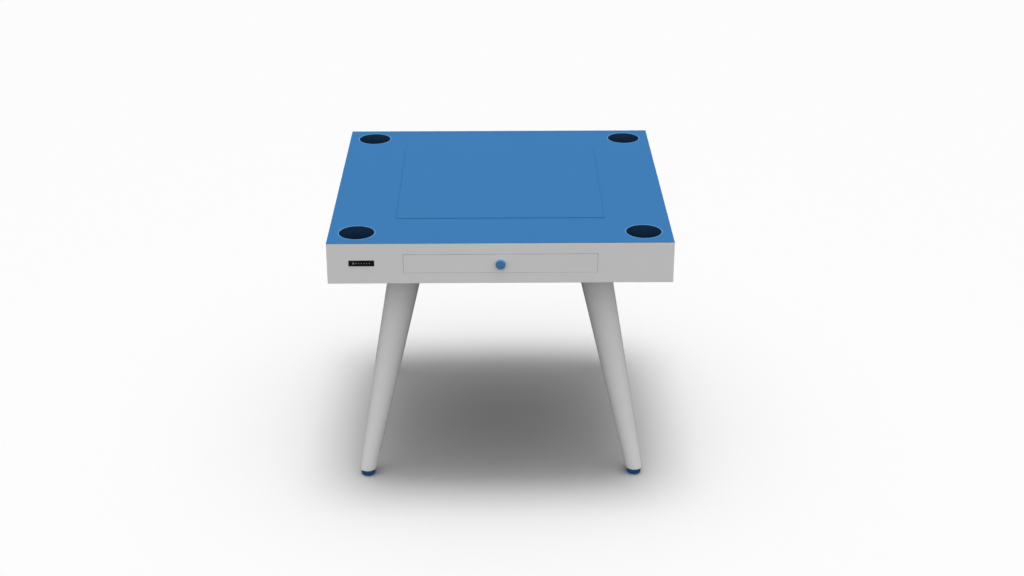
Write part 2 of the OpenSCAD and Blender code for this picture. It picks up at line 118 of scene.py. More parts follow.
def filleted(corners, steps=6):
    """A profile whose corners (r, h, radius) are rounded by arcs that touch both straight sides."""
    points = []
    count = len(corners)
    for i, (r, h, radius) in enumerate(corners):
        here = np.array([r, h])
        if radius <= 0 or i in (0, count - 1):
            points.append(here)
            continue
        back = np.array(corners[i - 1][:2]) - here
        ahead = np.array(corners[i + 1][:2]) - here
        back /= np.linalg.norm(back)
        ahead /= np.linalg.norm(ahead)
        half = math.acos(np.clip(back @ ahead, -1, 1)) / 2
        reach = radius / math.tan(half)
        centre = here + (back + ahead) / np.linalg.norm(back + ahead) * radius / math.sin(half)
        spoke_a = here + back * reach - centre
        spoke_b = here + ahead * reach - centre
        t = np.linspace(0, 1, steps + 1)[:, None]
        sweep = math.pi - 2 * half
        arc = (np.sin((1 - t) * sweep) * spoke_a + np.sin(t * sweep) * spoke_b) / math.sin(sweep)
        points.extend(centre + arc)
    return np.array(points)


def lathe(profile, centre, forward=False, around=96):
    """Surface of revolution. Point (s, t) is centre + r(s)(cos t, sin t) across the axis and
    h(s) along it; the axis is +Z, or -Y when forward. The profile starts and ends on the axis."""
    t = np.linspace(0, 2 * math.pi, around, endpoint=False)
    r = profile[1:-1, 0][:, None]
    h = np.broadcast_to(profile[1:-1, 1][:, None], (len(profile) - 2, around))
    across, sideways = r * np.cos(t), r * np.sin(t)
    axis = np.array([0, -1, 0]) if forward else np.array([0, 0, 1])
    if forward:
        rings = np.stack([across, -h, sideways], axis=-1)
    else:
        rings = np.stack([across, sideways, h], axis=-1)
    ends = [centre + axis * profile[i, 1] for i in (0, -1)]
    return stack_of_rings(list(rings + centre), *ends)


# ---- Materials ----

def linear(code):
    """Linear RGBA from an sRGB hex code."""
    channels = np.array([int(code[i:i + 2], 16) for i in (1, 3, 5)]) / 255
    low = channels / 12.92
    high = ((channels + 0.055) / 1.055) ** 2.4
    return (*np.where(channels <= 0.04045, low, high).tolist(), 1.0)


def per_metre(size_mm):
    """Texture scale whose features are about size_mm across."""
    return 1 / (size_mm * MM)


def add(mat, kind, inputs=None, out=None, **settings):
    """Adds a node and returns one of its outputs: settings are the node's own properties, inputs
    gives each socket a value or another node's output, and out names an output past the first."""
    node = mat.node_tree.nodes.new(kind)
    for key, value in settings.items():
        setattr(node, key, value)
    for name, value in (inputs or {}).items():
        socket = node.inputs[name] if isinstance(name, int) else next(
            s for s in node.inputs if s.name == name and s.enabled)
        if isinstance(value, bpy.types.NodeSocket):
            mat.node_tree.links.new(value, socket)
        else:
            socket.default_value = value
    return next((s for s in node.outputs if s.enabled and out in (None, s.name)), None)


def new_material(name):
    """An empty node material."""
    mat = bpy.data.materials.new(name)
    mat.use_nodes = True
    mat.node_tree.nodes.clear()
    return mat


def shade(mat, inputs):
    """Finishes a material with one Principled shader."""
    shader = add(mat, "ShaderNodeBsdfPrincipled", inputs)
    add(mat, "ShaderNodeOutputMaterial", {"Surface": shader})
    return mat


def white_lacquer():
    """White satin lacquer, sprayed and cured: a soft sheen, a faint orange peel and no grain."""
    mat = new_material("white_satin_lacquer")
    place = add(mat, "ShaderNodeTexCoord", out="Object")
    cloud = add(mat, "ShaderNodeTexNoise", {"Vector": place, "Scale": per_metre(160), "Detail": 3.0})
    tint = add(mat, "ShaderNodeMix", {
        "Factor": cloud, "A": linear("#EFEFEF"), "B": linear("#F3F3F3")}, data_type="RGBA")
    # Orange peel is about 1 mm across; it is drawn at 2.5 mm so that it shows at all
    peel = add(mat, "ShaderNodeTexNoise", {"Vector": place, "Scale": per_metre(2.5), "Detail": 2.0})
    gloss = add(mat, "ShaderNodeMapRange", {"Value": cloud, "To Min": 0.40, "To Max": 0.50})
    bump = add(mat, "ShaderNodeBump", {"Height": peel, "Distance": 0.06 * MM, "Strength": 0.5})
    return shade(mat, {
        "Base Color": tint, "Roughness": gloss, "Normal": bump, "IOR": 1.5, "Coat Weight": 0.15,
        "Coat Roughness": 0.25})


def blue_laminate():
    """Matt high-pressure laminate: an even blue with a fine suede texture and little shine."""
    mat = new_material("blue_matt_laminate")
    place = add(mat, "ShaderNodeTexCoord", out="Object")
    cloud = add(mat, "ShaderNodeTexNoise", {"Vector": place, "Scale": per_metre(90), "Detail": 4.0})
    # The suede texture is about 0.4 mm; it is drawn at 1.2 mm so that it shows close up
    suede = add(mat, "ShaderNodeTexNoise", {
        "Vector": place, "Scale": per_metre(1.2), "Detail": 2.0, "Roughness": 0.6})
    both = add(mat, "ShaderNodeMath", {0: cloud, 1: suede}, operation="MULTIPLY")
    tint = add(mat, "ShaderNodeMix", {
        "Factor": both, "A": linear("#2D6EA5"), "B": linear("#3173AC")}, data_type="RGBA")
    bump = add(mat, "ShaderNodeBump", {"Height": suede, "Distance": 0.05 * MM, "Strength": 0.6})
    return shade(mat, {
        "Base Color": tint, "Roughness": 0.66, "Normal": bump, "IOR": 1.45,
        "Specular IOR Level": 0.25})


def moulded_cup():
    """Blue ABS, injection moulded with a fine spark texture. The wall is painted a dark navy, which is
    painted shade for the depth of the cup, and the lip is painted a lighter blue, which is a painted
    highlight.
    """
    mat = new_material("blue_abs_painted_shade_and_highlight")
    place = add(mat, "ShaderNodeTexCoord", out="Object")
    height = add(mat, "ShaderNodeSeparateXYZ", {"Vector": place}, out="Z")
    lip_highlight_mask = add(mat, "ShaderNodeMath", {0: height, 1: TOP_Z}, operation="GREATER_THAN")
    grit = add(mat, "ShaderNodeTexNoise", {"Vector": place, "Scale": per_metre(0.9), "Detail": 2.0})
    # The wall colour is painted shade: two dark navies, mixed by the spark grit, for the shade deep in
    # the cup
    wall = add(mat, "ShaderNodeMix", {
        "Factor": grit, "A": linear("#0B2D4B"), "B": linear("#11385B")}, data_type="RGBA")
    # The lip colour is a painted highlight: a lighter blue on the rim above the top
    tint = add(mat, "ShaderNodeMix", {
        "Factor": lip_highlight_mask, "A": wall, "B": linear("#548FC2")}, data_type="RGBA")
    bump = add(mat, "ShaderNodeBump", {"Height": grit, "Distance": 0.04 * MM, "Strength": 0.5})
    return shade(mat, {
        "Base Color": tint, "Roughness": 0.62, "Normal": bump, "IOR": 1.53,
        "Specular IOR Level": 0.25})


def blue_satin(name, dark, light):
    """Blue moulded nylon, satin from the tool, with a very fine grain."""
    mat = new_material(name)
    place = add(mat, "ShaderNodeTexCoord", out="Object")
    grain = add(mat, "ShaderNodeTexNoise", {"Vector": place, "Scale": per_metre(1.5), "Detail": 3.0})
    tint = add(mat, "ShaderNodeMix", {
        "Factor": grain, "A": linear(dark), "B": linear(light)}, data_type="RGBA")
    bump = add(mat, "ShaderNodeBump", {"Height": grain, "Distance": 0.03 * MM, "Strength": 0.5})
    return shade(mat, {
        "Base Color": tint, "Roughness": 0.36, "Normal": bump, "IOR": 1.52, "Coat Weight": 0.2,
        "Coat Roughness": 0.2})


def birch_plywood(axis, along, edge_band=None):
    """Birch plywood under matt varnish. axis is the board's thickness, where the plies stack;
    along is the way that the face grain runs; edge_band is the colour of a banded edge."""
    mat = new_material("birch_plywood_" + (axis + along).lower() + ("_banded" if edge_band else ""))
    coords = add(mat, "ShaderNodeTexCoord", out="Object")
    # Growth lines are about 2 mm apart and stretched some twentyfold along the grain
    stretch = [0.05 if letter == along else 1.0 for letter in "XYZ"]
    place = add(mat, "ShaderNodeMapping", {"Vector": coords, "Scale": stretch})
    figure = add(mat, "ShaderNodeTexNoise", {
        "Vector": place, "Scale": per_metre(14), "Detail": 5.0, "Distortion": 0.6})
    fibre = add(mat, "ShaderNodeTexNoise", {"Vector": place, "Scale": per_metre(1.6), "Detail": 3.0})
    mixed = add(mat, "ShaderNodeMath", {0: figure, 1: fibre}, operation="ADD")
    level = add(mat, "ShaderNodeMapRange", {"Value": mixed, "From Min": 0.7, "From Max": 1.35})
    face = add(mat, "ShaderNodeMix", {
        "Factor": level, "A": linear("#C9A97B"), "B": linear("#E6D0A8")}, data_type="RGBA")
    # Plies are 1.4 mm thick, so a light and a dark one repeat every 2.8 mm. The bands of a wave
    # texture of scale 1 go through 20 radians in a metre.
    ply_pair, radians_per_metre = 2.8 * MM, 20
    plies = add(mat, "ShaderNodeTexWave", {
        "Vector": coords, "Scale": 2 * math.pi / (radians_per_metre * ply_pair), "Distortion": 0.15},
        out="Fac", wave_type="BANDS", bands_direction=axis, wave_profile="SIN")
    layers = (edge_band, edge_band) if edge_band else ("#A98658", "#E2CCA2")
    edge = add(mat, "ShaderNodeMix", {
        "Factor": plies, "A": linear(layers[0]), "B": linear(layers[1])}, data_type="RGBA")
    normal = add(mat, "ShaderNodeNewGeometry", out="True Normal")
    facing = add(mat, "ShaderNodeSeparateXYZ", {"Vector": normal}, out=axis)
    broad = add(mat, "ShaderNodeMath", {0: facing}, operation="ABSOLUTE")
    is_face = add(mat, "ShaderNodeMath", {0: broad, 1: 0.7}, operation="GREATER_THAN")
    tint = add(mat, "ShaderNodeMix", {"Factor": is_face, "A": edge, "B": face}, data_type="RGBA")
    bump = add(mat, "ShaderNodeBump", {"Height": fibre, "Distance": 0.08 * MM, "Strength": 0.5})
    return shade(mat, {"Base Color": tint, "Roughness": 0.55, "Normal": bump, "IOR": 1.5})


def green_felt(name, printed=False):
    """Dense wool felt, milled and sheared: a short matted nap that catches light at a grazing
    angle. The well's felt is printed with plain cream lines, as on a dice layout."""
    mat = new_material(name)
    place = add(mat, "ShaderNodeTexCoord", out="Object")
    # Matted fibres lie in flocks of about 1.5 mm, over a cloud from the milling of some 60 mm
    nap = add(mat, "ShaderNodeTexNoise", {"Vector": place, "Scale": per_metre(1.5), "Detail": 4.0})
    cloud = add(mat, "ShaderNodeTexNoise", {"Vector": place, "Scale": per_metre(60), "Detail": 2.0})
    both = add(mat, "ShaderNodeMath", {0: nap, 1: cloud}, operation="MULTIPLY")
    level = add(mat, "ShaderNodeMapRange", {"Value": both, "From Min": 0.0, "From Max": 0.50})
    colour = add(mat, "ShaderNodeMix", {
        "Factor": level, "A": linear("#175C3E"), "B": linear("#2C8059")}, data_type="RGBA")
    if printed:
        colour = add(mat, "ShaderNodeMix", {
            "Factor": layout_lines(mat, place), "A": colour, "B": linear("#E9E2C8")},
            data_type="RGBA")
    bump = add(mat, "ShaderNodeBump", {"Height": nap, "Distance": 0.25 * MM, "Strength": 0.7})
    return shade(mat, {
        "Base Color": colour, "Roughness": 0.92, "Normal": bump, "Sheen Weight": 0.35,
        "Sheen Roughness": 0.5, "IOR": 1.5, "Specular IOR Level": 0.2})


def layout_lines(mat, place):
    """A mask that is 1 on the printed lines: each is the outline of a round-cornered rectangle,
    where |length(max(|p - centre| - half + radius, 0)) - radius| is under half a line width."""
    radius, width, pitch = 12 * MM, 3 * MM, 72 * MM
    # Each outline has its centre, from the middle of the well, and its half sizes
    row = [((x * pitch, 172 * MM), (33 * MM, 42 * MM)) for x in (-2.5, -1.5, -0.5, 0.5, 1.5, 2.5)]
    bands = [((0, 0), (246 * MM, 246 * MM)), ((0, 0), (230 * MM, 230 * MM)),
             ((0, 78 * MM), (216 * MM, 38 * MM)), ((0, -12 * MM), (216 * MM, 38 * MM)),
             ((-118 * MM, -134 * MM), (98 * MM, 70 * MM)), ((118 * MM, -134 * MM), (98 * MM, 70 * MM))]
    flat = add(mat, "ShaderNodeVectorMath", {0: place, 1: (1, 1, 0)}, operation="MULTIPLY")
    mask = None
    for (x, y), (half_x, half_y) in row + bands:
        from_centre = add(mat, "ShaderNodeVectorMath", {
            0: flat, 1: (CASE[0] + x, CASE[1] + y, 0)}, operation="SUBTRACT")
        folded = add(mat, "ShaderNodeVectorMath", {0: from_centre}, operation="ABSOLUTE")
        past = add(mat, "ShaderNodeVectorMath", {
            0: folded, 1: (half_x - radius, half_y - radius, 0)}, operation="SUBTRACT")
        outside = add(mat, "ShaderNodeVectorMath", {0: past, 1: (0, 0, 0)}, operation="MAXIMUM")
        reach = add(mat, "ShaderNodeVectorMath", {0: outside}, operation="LENGTH")
        line = add(mat, "ShaderNodeMath", {0: reach, 1: radius, 2: width / 2}, operation="COMPARE")
        if mask is None:
            mask = line
        else:
            mask = add(mat, "ShaderNodeMath", {0: mask, 1: line}, operation="MAXIMUM")
    return mask


def moulded_rubber():
    """Black natural rubber, compression moulded: matt, with a faint bloom."""
    mat = new_material("black_moulded_rubber")
    place = add(mat, "ShaderNodeTexCoord", out="Object")
    bloom = add(mat, "ShaderNodeTexNoise", {"Vector": place, "Scale": per_metre(25), "Detail": 4.0})
    tint = add(mat, "ShaderNodeMix", {
        "Factor": bloom, "A": linear("#17171A"), "B": linear("#2A2A2E")}, data_type="RGBA")
    grit = add(mat, "ShaderNodeTexNoise", {"Vector": place, "Scale": per_metre(0.8), "Detail": 2.0})
    bump = add(mat, "ShaderNodeBump", {"Height": grit, "Distance": 0.05 * MM, "Strength": 0.5})
    return shade(mat, {"Base Color": tint, "Roughness": 0.7, "Normal": bump, "IOR": 1.52})


def rolled_metal(name, dark, light, roughness, along="Y"):
    """Bare or plated metal with the fine lines of rolling or turning along one axis."""
    mat = new_material(name)
    coords = add(mat, "ShaderNodeTexCoord", out="Object")
    stretch = [0.03 if letter == along else 1.0 for letter in "XYZ"]
    place = add(mat, "ShaderNodeMapping", {"Vector": coords, "Scale": stretch})
    lines = add(mat, "ShaderNodeTexNoise", {"Vector": place, "Scale": per_metre(0.6), "Detail": 3.0})
    cloud = add(mat, "ShaderNodeTexNoise", {"Vector": coords, "Scale": per_metre(30), "Detail": 3.0})
    tint = add(mat, "ShaderNodeMix", {
        "Factor": cloud, "A": linear(dark), "B": linear(light)}, data_type="RGBA")
    gloss = add(mat, "ShaderNodeMapRange", {
        "Value": lines, "To Min": roughness - 0.06, "To Max": roughness + 0.10})
    bump = add(mat, "ShaderNodeBump", {"Height": lines, "Distance": 0.02 * MM, "Strength": 0.5})
    return shade(mat, {"Base Color": tint, "Metallic": 1.0, "Roughness": gloss, "Normal": bump})


def powder_coat():
    """Black epoxy powder coat on steel plate: a satin skin with a fine leathery texture."""
    mat = new_material("black_powder_coat")
    place = add(mat, "ShaderNodeTexCoord", out="Object")
    skin = add(mat, "ShaderNodeTexVoronoi", {
        "Vector": place, "Scale": per_metre(1.2)}, feature="SMOOTH_F1")
    tint = add(mat, "ShaderNodeMix", {
        "Factor": skin, "A": linear("#1B1B1D"), "B": linear("#29292C")}, data_type="RGBA")
    bump = add(mat, "ShaderNodeBump", {"Height": skin, "Distance": 0.08 * MM, "Strength": 0.5})
    return shade(mat, {"Base Color": tint, "Roughness": 0.5, "Normal": bump, "IOR": 1.5})


def anodised_plate():
    """Black anodised aluminium, fine brushed before dyeing: a dull satin black."""
    mat = new_material("black_anodised_aluminium")
    coords = add(mat, "ShaderNodeTexCoord", out="Object")
    place = add(mat, "ShaderNodeMapping", {"Vector": coords, "Scale": (0.03, 1, 1)})
    brush = add(mat, "ShaderNodeTexNoise", {"Vector": place, "Scale": per_metre(0.5), "Detail": 2.0})
    tint = add(mat, "ShaderNodeMix", {
        "Factor": brush, "A": linear("#0B0B0D"), "B": linear("#1A1A1D")}, data_type="RGBA")
    bump = add(mat, "ShaderNodeBump", {"Height": brush, "Distance": 0.02 * MM, "Strength": 0.5})
    return shade(mat, {"Base Color": tint, "Metallic": 0.4, "Roughness": 0.42, "Normal": bump})


# ---- Finishing the CAD nodes ----

SAME_POINT = 0.005 * MM


def finish_node(node, mat, round_mm=0.0):
    """Gives a CAD node its material, and rounds its arrises if round_mm is set. The mesh comes with
    its faces apart, so points nearer than a few microns are joined first."""
    piece = frame["nodes"][node]
    piece.data.materials.clear()
    piece.data.materials.append(mat)
    if round_mm:
        weld = piece.modifiers.new("weld", "WELD")
        weld.merge_threshold = SAME_POINT
        arris = piece.modifiers.new("arris", "BEVEL")
        arris.width = round_mm * MM
        arris.segments = 3
        arris.limit_method = "ANGLE"
        arris.angle_limit = math.radians(50)
        arris.harden_normals = True
        arris.use_clamp_overlap = True
    return piece


# ---- Pieces ----

def rim_of(node, at_top, outwards, sideways):
    """Centre and half sizes of the ellipse at one level end of a leg, from the CAD node."""
    co = np.array([v.co for v in frame["nodes"][node].data.vertices])
    level = co[:, 2].max() if at_top else co[:, 2].min()
    rim = co[np.abs(co[:, 2] - level) < 0.02 * MM]
    out, across = rim @ outwards, rim @ sideways
    centre = outwards * (out.max() + out.min()) / 2 + sideways * (across.max() + across.min()) / 2
    return centre + np.array([0, 0, level]), np.ptp(out) / 2, np.ptp(across) / 2


def make_leg(name, side_x, side_y, mat):
    """A turned leg cut level at both ends. Point (u, v) is (1 - v) B(u) + v T(u), where B and T
    are the ellipses E(u) = centre + a cos(u) outwards + b sin(u) sideways at the foot and at the
    plate. Each end steps inwards over a small round arris, and the foot end is bored."""
    node = "leg_" + name
    arris, around, stem_gap, bore_reach = 1.4 * MM, 128, 0.5 * MM, 1.05
    outwards = np.array([side_x, side_y, 0]) / math.sqrt(2)
    sideways = np.cross([0, 0, 1], outwards)
    foot, foot_a, foot_b = rim_of(node, False, outwards, sideways)
    top, top_a, top_b = rim_of(node, True, outwards, sideways)
    u = np.linspace(0, 2 * math.pi, around, endpoint=False)[:, None]
    spoke_a, spoke_b = np.cos(u) * outwards, np.sin(u) * sideways
    length = top[2] - foot[2]

    def section(rise, inset):
        v = rise / length
        a, b = foot_a + (top_a - foot_a) * v - inset, foot_b + (top_b - foot_b) * v - inset
        return foot + (top - foot) * v + a * spoke_a + b * spoke_b

    stem = middle_of("foot_stem_" + name) * [1, 1, 0]
    insert_r = corner_of("foot_inserts")[1][0] - abs(stem[0])
    insert_l = np.ptp(corner_of("foot_inserts"), axis=0)[2]
    stem_low, stem_high = corner_of("foot_stem_" + name)
    bore_r = (stem_high[0] - stem_low[0]) / 2 + stem_gap
    bore_end = foot[2] + bore_reach * (stem_high[2] - foot[2])

    def bore(radius, z):
        return stem + [0, 0, z] + radius * (spoke_a + spoke_b)

    turn = np.linspace(0, math.pi / 2, 6)
    lower = [section(arris * (1 - math.cos(t)), arris * (1 - math.sin(t))) for t in turn]
    upper = [section(length - arris * (1 - math.cos(t)), arris * (1 - math.sin(t)))
             for t in turn[::-1]]
    shaft = [section(length * v, 0) for v in np.linspace(0.02, 0.98, 25)]
    inside = [bore(bore_r, bore_end), bore(bore_r, foot[2] + insert_l),
              bore(insert_r, foot[2] + insert_l), bore(insert_r, foot[2])]
    rings = inside + lower + shaft + upper
    points, faces = stack_of_rings(rings, stem + [0, 0, bore_end], top)
    make_piece("turned_" + node, points, faces, "table", mat, [node])


def make_cup(name, mat):
    """A moulded cup holder: the profile runs up its outside, over a rounded lip, down a wall that
    meets the floor in a wide curve, and over a low drip ring to the middle."""
    node = "cup_" + name
    mount = next(m for m in frame["record"]["mounts"] if m["name"] == node)
    inner = mount["dims"]["r_mm"] * MM
    low, high = corner_of(node)
    centre = middle_of(node) * [1, 1, 0]
    co = np.array([v.co for v in frame["nodes"][node].data.vertices]) - centre
    outer = np.hypot(co[:, 0], co[:, 1])[co[:, 2] < TOP_Z - MM].max()
    lip = (high[0] - low[0]) / 2
    floor = high[2] - mount["dims"]["length_mm"] * MM
    # The drip ring's radius and height, and half its width at the top and at the floor
    ring_r, ring_h, crest, skirt = inner * 0.62, 0.8 * MM, MM, 2 * MM
    profile = filleted([
        (0, low[2], 0), (outer, low[2], 4 * MM), (outer, TOP_Z, 0), (lip, TOP_Z, 0.2 * MM),
        (lip, high[2], 0.5 * MM), (inner, high[2], 0.35 * MM), (inner, floor, 5 * MM),
        (ring_r + skirt, floor, 0.5 * MM), (ring_r + crest, floor + ring_h, 0.4 * MM),
        (ring_r - crest, floor + ring_h, 0.4 * MM), (ring_r - skirt, floor, 0.5 * MM),
        (0, floor, 0)])
    points, faces = lathe(profile, centre, around=128)
    make_piece("moulded_" + node, points, faces, "table", mat, [node], crease=60)


def make_knob(mat):
    """The drawer knob, turned: a short neck flares in a quarter ellipse to a thick round disc, whose
    front is a very low crown z = crown (1 - (r / rim)^2) inside a small rounded edge."""
    low, high = corner_of("drawer_knob")
    out, rim = high[1] - low[1], (high[0] - low[0]) / 2
    neck, neck_end, flare_end = rim * 0.55, out * 0.10, out * 0.42
    edge, crown = 1.6 * MM, 0.5 * MM
    t = np.linspace(0, math.pi / 2, 12)
    flare = np.stack([rim - (rim - neck) * np.cos(t),
                      flare_end - (flare_end - neck_end) * (1 - np.sin(t))], axis=-1)
    shoulder = np.stack([rim - edge * (1 - np.cos(t)), out - crown - edge * (1 - np.sin(t))], axis=-1)
    r = np.linspace(rim - edge, 0, 10)[1:]
    face = np.stack([r, out - crown * (r / (rim - edge)) ** 2], axis=-1)
    profile = np.concatenate([[[0, 0], [neck, 0]], flare, shoulder, face])
    centre = np.array([(low[0] + high[0]) / 2, high[1], (low[2] + high[2]) / 2])
    points, faces = lathe(profile, centre, forward=True, around=96)
    make_piece("turned_drawer_knob", points, faces, "drawer", mat,
               ["drawer_knob"], crease=50)


def make_foot_pad(name, mat):
    """A levelling foot: a flat base, a flared side and a rounded shoulder, with a hollow in its
    top for the stem."""
    node = "foot_pad_" + name
    low, high = corner_of(node)
    stem_low, stem_high = corner_of("foot_stem_" + name)
    stem_r = (stem_high[0] - stem_low[0]) / 2
    rim, tall = (high[0] - low[0]) / 2, high[2] - low[2]
    flare, flare_top = 3.2 * MM, tall * 0.72
    # The mouth of the hollow is countersunk by this much across and this much down
    mouth, mouth_down = 1.2 * MM, MM
    profile = filleted([
        (0, 0, 0), (rim - flare, 0, 2.2 * MM), (rim, flare_top, 5 * MM), (rim, tall, 1.3 * MM),
        (stem_r + mouth, tall, 0.2 * MM), (stem_r, tall - mouth_down, 0.2 * MM),
        (stem_r, stem_low[2], 0), (0, stem_low[2], 0)])
    points, faces = lathe(profile, middle_of(node) * [1, 1, 0], around=96)
    make_piece("moulded_" + node, points, faces, "foot_" + name, mat, [node],
               crease=60)


def make_cushions(mat):
    """Rubber strips faced with rows of square pyramids, which scatter the dice. Each strip has a
    lattice of groove corners and a lattice of peaks over its cells; a point at depth d from the
    wall is drawn in by (half - d) / half along the strip, which mitres the ends."""
    low, high = corner_of("well_cushions")
    wall_low, wall_high = corner_of("well_felt")
    half = (wall_high[0] - wall_low[0]) / 2
    deep, base, rows = 6 * MM, 3 * MM, 3
    pitch = (high[2] - low[2]) / rows
    cols = int(round(2 * half / pitch))
    s = np.linspace(-half, half, cols + 1)
    z = np.linspace(low[2], high[2], rows + 1)

    def lattice(along, heights, depth):
        grid_s, grid_z = np.meshgrid(along * (half - depth) / half, heights)
        return np.stack([grid_s, np.full_like(grid_s, depth - half), grid_z], axis=-1).reshape(-1, 3)

    peaks_s, peaks_z = (s[:-1] + s[1:]) / 2, (z[:-1] + z[1:]) / 2
    strip = np.concatenate([lattice(s, z, base), lattice(peaks_s, peaks_z, deep),
                            lattice(s, z, 0.0)])
    row, col = [a.reshape(-1) for a in np.meshgrid(np.arange(rows), np.arange(cols), indexing="ij")]
    corner = row * (cols + 1) + col
    peak = (rows + 1) * (cols + 1) + row * cols + col
    back = (rows + 1) * (cols + 1) + rows * cols
    ring = [corner, corner + 1, corner + cols + 2, corner + cols + 1]
    tris = np.concatenate([np.stack([ring[(i + 1) % 4], ring[i], peak], axis=-1) for i in range(4)])
    quads = np.stack([ring[0], ring[1], ring[2], ring[3]], axis=-1) + back
    bottom, top = np.arange(cols), rows * (cols + 1) + np.arange(cols)
    left, right = np.arange(rows) * (cols + 1), np.arange(rows) * (cols + 1) + cols
    edges = np.concatenate([
        np.stack([bottom, bottom + 1, bottom + 1 + back, bottom + back], axis=-1),
        np.stack([top + 1, top, top + back, top + 1 + back], axis=-1),
        np.stack([left + cols + 1, left, left + back, left + cols + 1 + back], axis=-1),
        np.stack([right, right + cols + 1, right + cols + 1 + back, right + back], axis=-1)])
    # The strip is the front wall's and faces +Y; quarter turns of it give the other three walls theirs
    points, faces = [], []
    for turn in range(4):
        c, sn = round(math.cos(turn * math.pi / 2)), round(math.sin(turn * math.pi / 2))
        turned = strip @ np.array([[c, sn, 0], [-sn, c, 0], [0, 0, 1]]) + CASE * [1, 1, 0]
        offset = turn * len(strip)
        points.append(turned)
        faces += (tris + offset).tolist() + (quads + offset).tolist() + (edges + offset).tolist()
    make_piece("diamond_rubber_cushions", np.concatenate(points), faces, "table", mat,
               ["well_cushions"], crease=20)


def make_felt(name, node, body, mat):
    """A glued felt lining. Its top is a grid z = highest + dip (sin(wave_x x) cos(wave_y y) - 1), the
    slow unevenness of hand laying, and it rolls down to the board in a small quarter round."""
    low, high = corner_of(node)
    gap, roll, cells = 0.3 * MM, 0.7 * MM, 120
    dip, wave_x, wave_y = 0.06 * MM, 31, 23
    size = (high - low)[:2] - 2 * gap
    turn = np.linspace(0, math.pi / 2, 5)
    ramp, fall = roll * (1 - np.cos(turn)), roll * (1 - np.sin(turn))
    along = [np.concatenate([ramp, np.linspace(roll, length - roll, cells + 2)[1:-1],
                             length - ramp[::-1]]) for length in size]
    drop = np.concatenate([fall, np.zeros(cells), fall[::-1]])
    grid_x, grid_y = np.meshgrid(along[0], along[1], indexing="ij")
    swell = dip * (np.sin(grid_x * wave_x) * np.cos(grid_y * wave_y) - 1)
    top = high[2] + swell - np.maximum(drop[:, None], drop[None, :])
    upper = np.stack([low[0] + gap + grid_x, low[1] + gap + grid_y, top], axis=-1).reshape(-1, 3)
    lower = upper * [1, 1, 0] + [0, 0, low[2]]
    rows, cols = len(along[0]), len(along[1])
    row, col = [a.reshape(-1) for a in np.meshgrid(
        np.arange(rows - 1), np.arange(cols - 1), indexing="ij")]
    first = row * cols + col
    quads = np.stack([first, first + cols, first + cols + 1, first + 1], axis=-1)
    total = rows * cols
    rim = np.concatenate([np.arange(cols - 1), (np.arange(rows - 1) + 1) * cols - 1,
                          total - 1 - np.arange(cols - 1), (rows - 1 - np.arange(rows - 1)) * cols])
    ahead = np.roll(rim, -1)
    walls = np.stack([rim, ahead, ahead + total, rim + total], axis=-1)
    faces = quads.tolist() + (quads[:, ::-1] + total).tolist() + walls.tolist()
    felt = make_piece(name, np.concatenate([upper, lower]), faces, body, mat, [node],
                      crease=50)


# ---- Stage ----

def make_stage():
    """A plain white floor, far larger than any view of the table. To the camera it is a shade
    brighter than white paper, so that it stays white under soft light. To every other ray it is
    matt grey paper, which throws back little light on the table."""
    half, brightness = 60.0, 1.13
    mat = new_material("plain_white_floor")
    seen = add(mat, "ShaderNodeLightPath", out="Is Camera Ray")
    dull = add(mat, "ShaderNodeBsdfDiffuse", {"Color": linear("#595959")})
    white = add(mat, "ShaderNodeBsdfDiffuse", {"Color": (brightness, brightness, brightness, 1.0)})
    paper = add(mat, "ShaderNodeMixShader", {0: seen, 1: dull, 2: white})
    add(mat, "ShaderNodeOutputMaterial", {"Surface": paper})
    mesh = bpy.data.meshes.new("studio_floor")
    mesh.from_pydata([(-half, -half, 0), (half, -half, 0), (half, half, 0), (-half, half, 0)],
                     [], [(0, 1, 2, 3)])
    mesh.materials.append(mat)
    floor = bpy.data.objects.new("studio_floor", mesh)
    bpy.context.scene.collection.objects.link(floor)
    return floor


def add_softbox(name, strength, spread, azimuth, height, flagged=None):
    """A soft light that fills a disc of the sky, spread degrees across, and gives a surface that
    faces it strength times the light of a plain white sky. Azimuth 0 is the front. Light linking
    keeps it off the things in the collection flagged, as a black flag on a stand would."""
    light = bpy.data.lights.new(name, "SUN")
    light.energy = strength * math.pi
    light.angle = math.radians(spread)
    lamp = bpy.data.objects.new(name, light)
    lamp.rotation_euler = (math.radians(90 - height), 0, math.radians(azimuth))
    if flagged:
        lamp.light_linking.receiver_collection = flagged
    bpy.context.scene.collection.objects.link(lamp)


